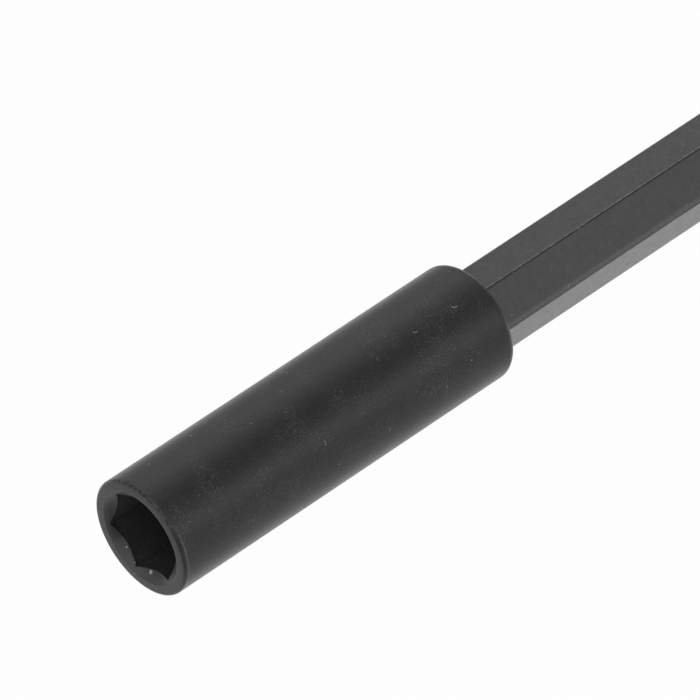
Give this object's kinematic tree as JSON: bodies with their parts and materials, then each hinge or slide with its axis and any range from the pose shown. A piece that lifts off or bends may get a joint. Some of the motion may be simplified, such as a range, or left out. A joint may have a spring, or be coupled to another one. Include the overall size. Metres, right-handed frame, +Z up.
{
  "type": "precision screwdriver",
  "caption": "Precision screwdriver: hexagonal aluminium handle with knurled grip and swivel cap, and a pull-out black hexagonal shaft that ends in a magnetic bit socket.",
  "frame": {"origin": "on the resting surface, below the middle of the tool's length", "axes": "+X from the bit socket to the swivel cap, +Z up from the handle flat that the tool rests on"},
  "size_m": [0.1894, 0.0156, 0.014],
  "materials": {
    "black_steel": "black oxide, matt",
    "bright_steel": "machined",
    "spring_steel": "tempered, dull",
    "bearing_steel": "polished",
    "nickel": "nickel plated",
    "dark_aluminium": "dark anodised, satin",
    "bronze": "plain bronze",
    "nylon": "natural",
    "soft_black": "matt"
  },
  "bodies": {
    "handle": {"nose_cone": "dark_aluminium", "chuck_insert": "bright_steel", "chuck_magnet": "nickel", "blade_clip": "spring_steel", "grip_sleeve": "dark_aluminium", "handle_barrel": "dark_aluminium", "bearing_outer_race": "bearing_steel", "bearing_circlip": "spring_steel", "thrust_washer": "bronze"},
    "blade": {"socket_sleeve": "black_steel", "hex_shaft": "black_steel", "socket_magnet": "nickel"},
    "cap": {"swivel_cap": "dark_aluminium", "cap_pad": "soft_black", "cap_spindle": "bright_steel", "bearing_inner_race": "bearing_steel", "spindle_washer": "bright_steel", "spindle_screw": "bright_steel"},
    "cage": {"bearing_cage": "nylon", "bearing_ball_1": "bearing_steel", "bearing_ball_2": "bearing_steel", "bearing_ball_3": "bearing_steel", "bearing_ball_4": "bearing_steel", "bearing_ball_5": "bearing_steel", "bearing_ball_6": "bearing_steel", "bearing_ball_7": "bearing_steel"}
  },
  "joints": [
    {"name": "blade_slide", "type": "slide", "parent": "handle", "child": "blade", "axis": [-1, 0, 0], "range_m": [0, 0.017], "deforming": ["blade_clip"]},
    {"name": "cap_spin", "type": "hinge", "parent": "handle", "child": "cap", "pos_m": [0.08142, 0, 0.007], "axis": [1, 0, 0], "continuous": true},
    {"name": "cage_spin", "type": "hinge", "parent": "handle", "child": "cage", "pos_m": [0.08142, 0, 0.007], "axis": [1, 0, 0], "continuous": true}
  ],
  "couplings": [
    {"joint": "cage_spin", "follows": "cap_spin", "ratio": 0.4077}
  ]
}
